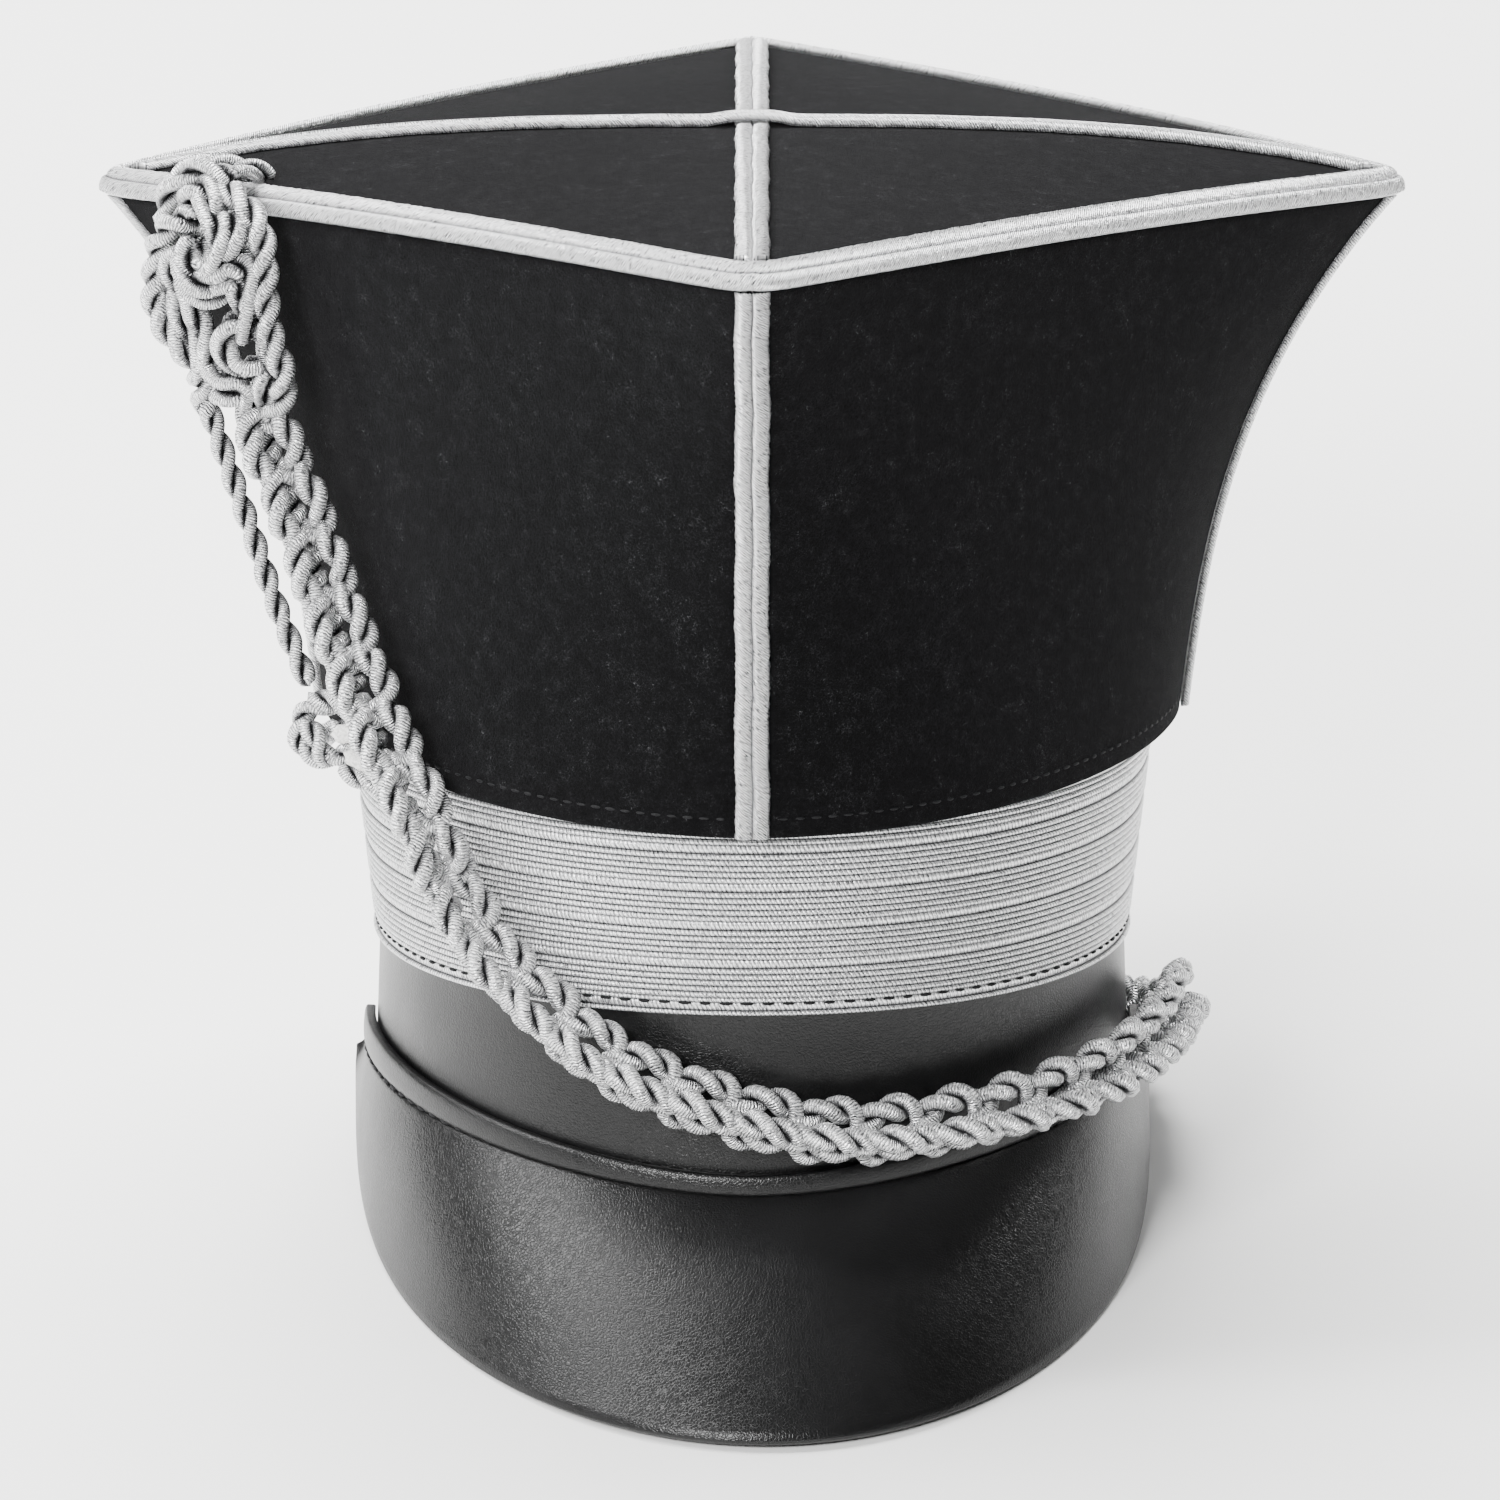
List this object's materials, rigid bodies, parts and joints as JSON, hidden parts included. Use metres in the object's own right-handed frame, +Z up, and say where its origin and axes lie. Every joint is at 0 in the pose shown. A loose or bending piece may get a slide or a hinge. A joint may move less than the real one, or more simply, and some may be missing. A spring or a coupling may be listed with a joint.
{
  "type": "square-topped lancer shako hat",
  "caption": "Leather cap body and peak with a silver galloon band, a flared felt crown with a domed square top, silver braid and a plaited cap line.",
  "frame": {"origin": "on the surface the cap rests on, under the middle of the bounding box without the free cords", "axes": "+Z up, the cap's front towards -Y and the wearer's left towards +X"},
  "size_m": [0.2952, 0.3336, 0.2597],
  "materials": {
    "felt": "black wool felt, matt, with a short nap",
    "leather": "black grained leather, satin",
    "silver_thread": "silver wound thread"
  },
  "bodies": {
    "root": {"body": "leather", "peak": "leather", "galloon_band": "silver_thread", "crown_panel_back_left": "felt", "crown_panel_back_right": "felt", "crown_panel_front_right": "felt", "crown_panel_front_left": "felt", "top_panel": "felt", "top_edge_braid": "silver_thread", "top_braid_front_to_back": "silver_thread", "top_braid_side_to_side": "silver_thread", "corner_braid_left": "silver_thread", "corner_braid_back": "silver_thread", "corner_braid_right": "silver_thread", "corner_braid_front": "silver_thread", "rosette": "silver_thread", "cap_line_plait": "silver_thread", "side_knot": "silver_thread", "end_knot": "silver_thread", "hanging_cord": "silver_thread", "return_cord": "silver_thread"}
  },
  "joints": []
}
